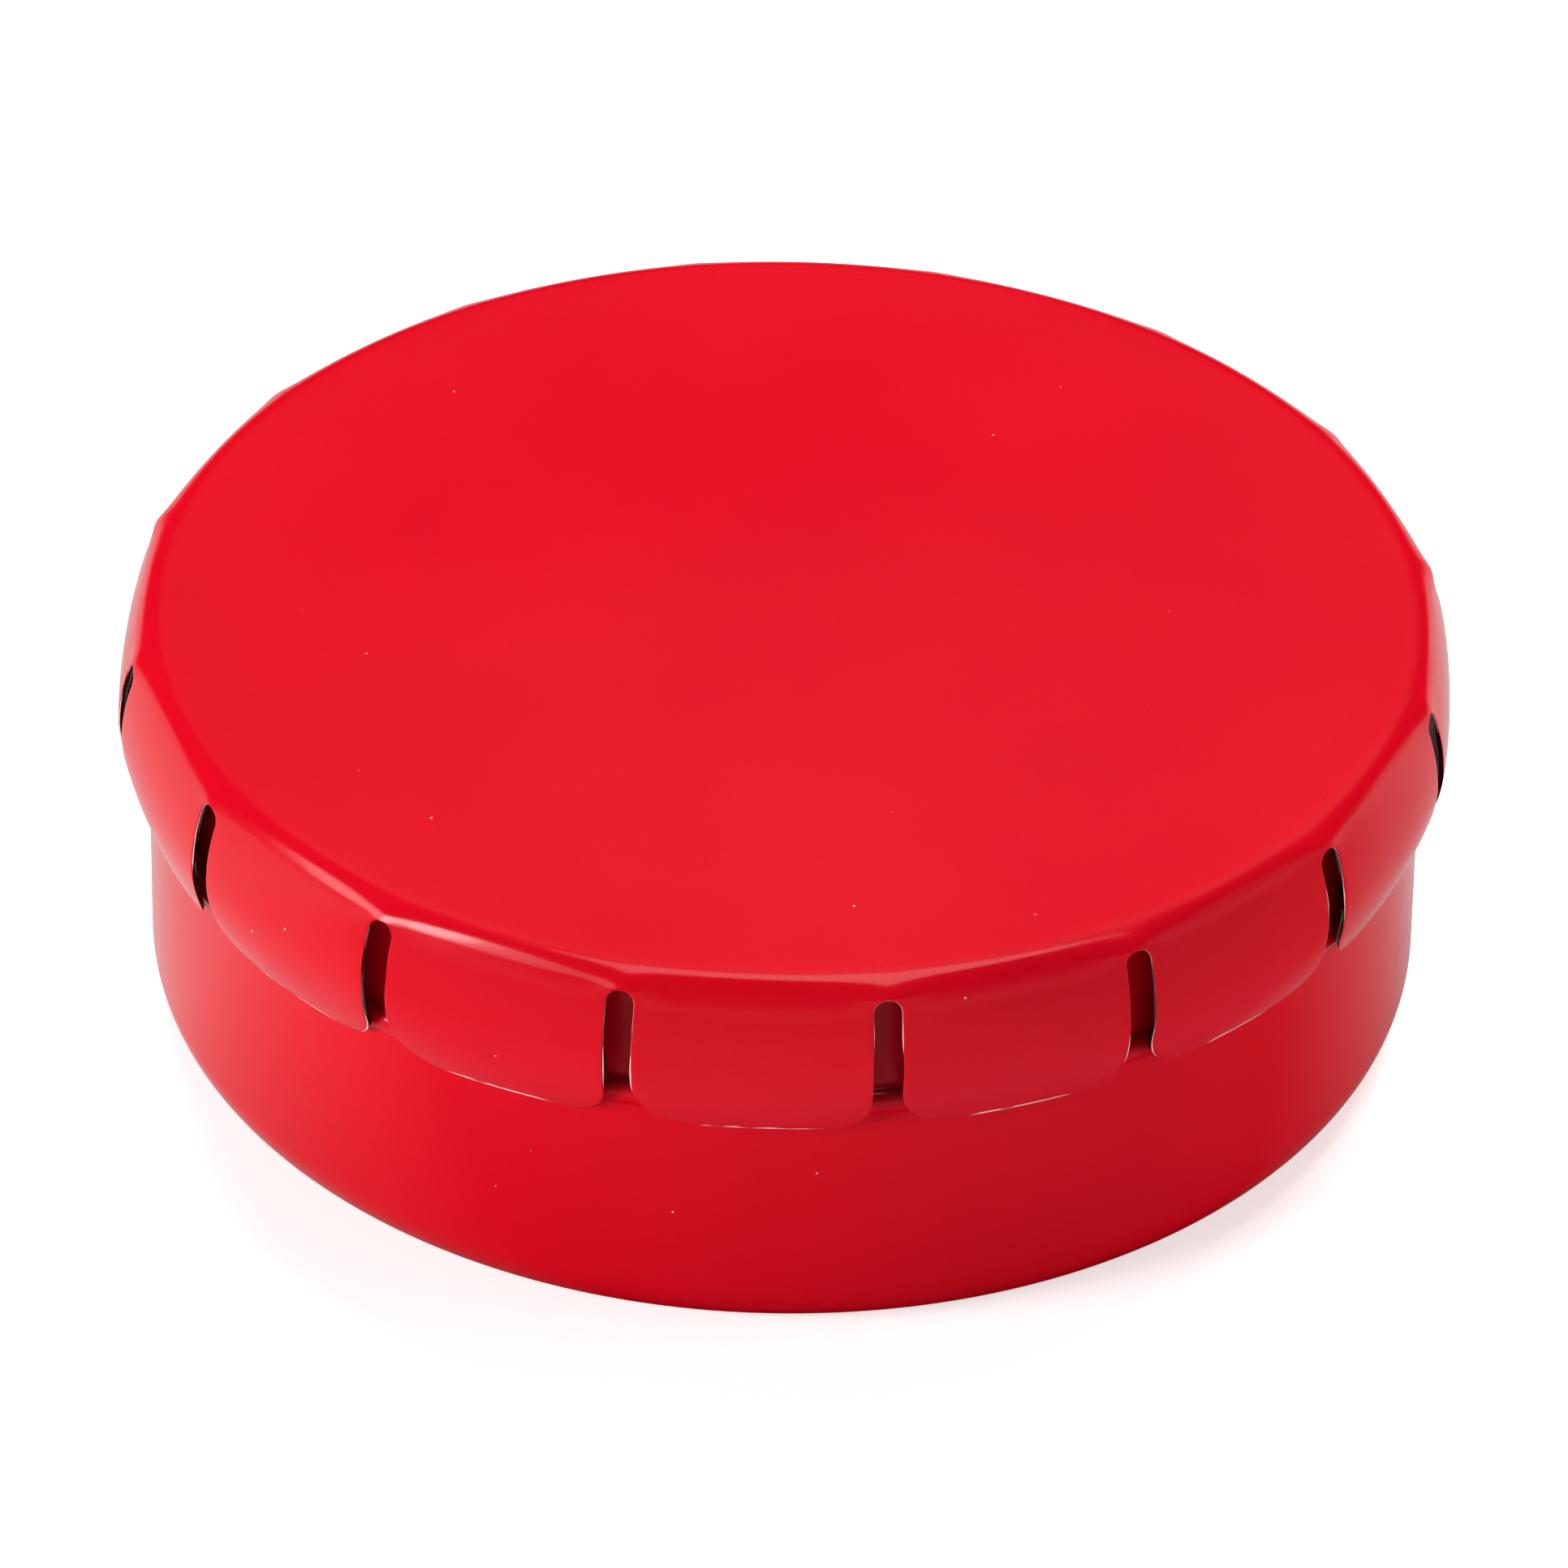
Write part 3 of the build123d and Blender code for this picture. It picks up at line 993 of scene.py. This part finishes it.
        heading = FIRST_SLOT + (number - 0.5) * PITCH
        piece.data.transform(Matrix.Rotation(heading, 4, "Z"))
        back = Matrix.Rotation(-heading, 3, "Z")
        join_seams(sizes, shape, piece, lambda point: on_seam(back @ point))
        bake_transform(piece)
        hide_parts(f"finger_{number:02d}")

    def execute(self, context):
        sizes = context.scene.tin_sizes
        shape = shape_of(sizes)
        for number in range(1, SIDES + 1):
            self.pressed(sizes, shape, number)
        return {"FINISHED"}


class TIN_OT_stage(Operator):
    """Pale floor, soft lamps, white surroundings and the camera"""

    bl_idname = "tin.stage"
    bl_label = "Stage"

    def floor(self, stage):
        deselect()
        bpy.ops.mesh.primitive_plane_add(size=FLOOR_SIDE, location=(0, 0, 0))
        piece = name_new("floor")
        material, tree, shader, place = start_material("pale_floor")
        cloud = noise(tree, place, CLOUD_SCALE).outputs[0]
        pale = mixed(tree, cloud, scaled(stage.floor, DIM_FLOOR), tuple(stage.floor))
        path = tree.nodes.new("ShaderNodeLightPath").outputs
        bounce = mixed(tree, path["Is Glossy Ray"], tuple(stage.floor_bounce), (0, 0, 0, 1))
        seen = mixed(tree, path["Is Camera Ray"], bounce, pale)
        # Painted reflection: for mirrored rays the floor is black and glows, brighter behind and far off,
        # darker in front of the tin, standing in for the floor's light and the tin's shadow on it
        spot = add_node(tree, "ShaderNodeSeparateXYZ", {0: place})
        behind = maths(tree, "MULTIPLY_ADD", spot.outputs[0], PAINTED_GLOW_TILT, spot.outputs[1])
        away = add_node(tree, "ShaderNodeVectorMath", {0: place}, operation="LENGTH").outputs["Value"]
        painted_floor_glow = maths(tree, "MAXIMUM", ramp(tree, behind, *PAINTED_GLOW_BEHIND), ramp(tree, away, *PAINTED_GLOW_FAR))
        mirrored = maths(tree, "MULTIPLY", path["Is Glossy Ray"], painted_floor_glow)
        lifted = maths(tree, "MULTIPLY_ADD", path["Is Camera Ray"], FLOOR_LIFT, mirrored)
        glow = {"Emission Color": (1, 1, 1, 1), "Emission Strength": lifted}
        feed(tree, shader, {"Base Color": seen, "Roughness": 0.9, "Specular IOR Level": 0.0, **glow})
        material.cycles.emission_sampling = "NONE"
        piece.data.materials.append(material)

    def world(self):
        world = bpy.data.worlds.new("white_surroundings")
        bpy.context.scene.world = world
        world.use_nodes = True
        tree = world.node_tree
        back = tree.nodes["Background"]
        direction = tree.nodes.new("ShaderNodeTexCoord").outputs["Generated"]
        height = add_node(tree, "ShaderNodeSeparateXYZ", {0: direction}).outputs[2]
        path = tree.nodes.new("ShaderNodeLightPath").outputs
        shine = maths(tree, "MULTIPLY", path["Is Glossy Ray"], ramp(tree, height, *HORIZON))
        dull = maths(tree, "SUBTRACT", 1.0, path["Is Glossy Ray"])
        around = maths(tree, "MULTIPLY_ADD", dull, SKY_LIGHT, shine)
        strength = maths(tree, "MAXIMUM", path["Is Camera Ray"], around)
        world.cycles.sampling_method = "NONE"
        feed(tree, back, {"Color": (1, 1, 1, 1), "Strength": strength})

    def lamp(self, name, direction, distance, width, height, radiance):
        """Soft lamp of a given radiance, looking at the tin."""
        data = bpy.data.lights.new(name, "AREA")
        data.shape = "ELLIPSE"
        data.size, data.size_y = width, height
        data.energy = radiance * math.pi * (math.pi / 4 * width * height)
        lamp = bpy.data.objects.new(name, data)
        bpy.context.collection.objects.link(lamp)
        away = Vector(direction).normalized()
        lamp.location = away * distance
        lamp.rotation_mode = "QUATERNION"
        lamp.rotation_quaternion = away.to_track_quat("Z", "Y")
        return lamp

    def camera(self, stage):
        data = bpy.data.cameras.new("camera")
        camera = bpy.data.objects.new("camera", data)
        bpy.context.collection.objects.link(camera)
        tilt, roll = stage.camera_elevation, stage.camera_roll
        back = Vector((0, -math.cos(tilt), math.sin(tilt)))
        right = Vector((1, 0, 0))
        up = Vector((0, math.sin(tilt), math.cos(tilt)))
        x_axis = right * math.cos(roll) + up * math.sin(roll)
        y_axis = up * math.cos(roll) - right * math.sin(roll)
        camera.matrix_world = Matrix((x_axis, y_axis, back)).transposed().to_4x4()
        camera.location = back * stage.camera_distance + Vector((0, 0, stage.camera_height))
        data.sensor_width = SENSOR
        data.lens = stage.focal_pixels * data.sensor_width / PIXELS
        data.clip_start = 0.01
        data.clip_end = 20
        bpy.context.scene.camera = camera

    def execute(self, context):
        stage = context.scene.tin_stage
        self.floor(stage)
        self.world()
        for row in LAMPS:
            self.lamp(*row).visible_glossy = False
        for row in CARDS:
            self.lamp(*row).visible_diffuse = False
        self.camera(stage)
        context.scene.view_settings.view_transform = "Standard"
        return {"FINISHED"}


class TIN_PT_sidebar(Panel):
    """Lists the pieces of the tin"""

    bl_idname = "TIN_PT_sidebar"
    bl_label = "Mint tin"
    bl_space_type = "VIEW_3D"
    bl_region_type = "UI"
    bl_category = "Mint tin"

    def draw(self, context):
        for kind in PIECES:
            self.layout.operator(kind.bl_idname, text=kind.bl_label)
        scene = context.scene
        for group in (scene.tin_sizes, scene.tin_finish, scene.tin_stage):
            column = self.layout.column()
            for key in group.__annotations__:
                column.prop(group, key)


PIECES = (TIN_OT_can, TIN_OT_lid_ring, TIN_OT_panel, TIN_OT_fingers, TIN_OT_stage)
CLASSES = (TinSizes, TinFinish, StageSettings, *PIECES, TIN_PT_sidebar)


def register():
    for kind in CLASSES:
        bpy.utils.register_class(kind)
    bpy.types.Scene.tin_sizes = PointerProperty(type=TinSizes)
    bpy.types.Scene.tin_finish = PointerProperty(type=TinFinish)
    bpy.types.Scene.tin_stage = PointerProperty(type=StageSettings)


def unregister():
    del bpy.types.Scene.tin_sizes
    del bpy.types.Scene.tin_finish
    del bpy.types.Scene.tin_stage
    for kind in reversed(CLASSES):
        bpy.utils.unregister_class(kind)


def main():
    """Build the tin and its stage."""
    register()
    bpy.ops.tin.can()
    bpy.ops.tin.lid_ring()
    bpy.ops.tin.panel()
    bpy.ops.tin.fingers()
    bpy.ops.tin.stage()
    deselect()


if __name__ == "__main__":
    main()
